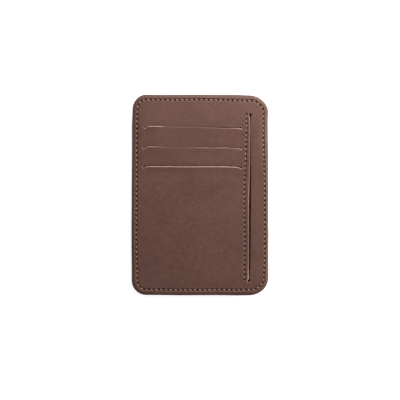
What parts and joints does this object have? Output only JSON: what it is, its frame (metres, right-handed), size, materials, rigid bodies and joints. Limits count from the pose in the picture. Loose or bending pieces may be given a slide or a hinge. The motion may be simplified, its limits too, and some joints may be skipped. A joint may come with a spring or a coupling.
{
  "type": "card wallet",
  "caption": "Slim flat leather wallet with horizontal card slits, a long upright notes slit at its right side and a sewn edge.",
  "frame": {"origin": "centre of the flat back face, on the plane the wallet lies on", "axes": "+X across the wallet to the side with the notes slit, +Y to its top edge, +Z out of the front face"},
  "size_m": [0.08, 0.1176, 0.0045],
  "materials": {
    "leather": "matte",
    "lining": "matte",
    "thread": "satin",
    "edge_paint": "satin"
  },
  "bodies": {
    "root": {"front_panel": "leather", "back_panel": "leather", "front_pocket_lining_upper": "lining", "front_pocket_lining_middle": "lining", "front_pocket_lining_lower": "lining", "back_pocket_lining_upper": "lining", "back_pocket_lining_middle": "lining", "back_pocket_lining_lower": "lining", "notes_pocket_front_lining": "lining", "notes_pocket_back_lining": "lining", "edge_seam_needle_thread": "thread", "edge_seam_bobbin_thread": "thread", "slit_seam_needle_thread": "thread", "slit_seam_bobbin_thread": "thread", "edge_coating": "edge_paint"}
  },
  "joints": []
}
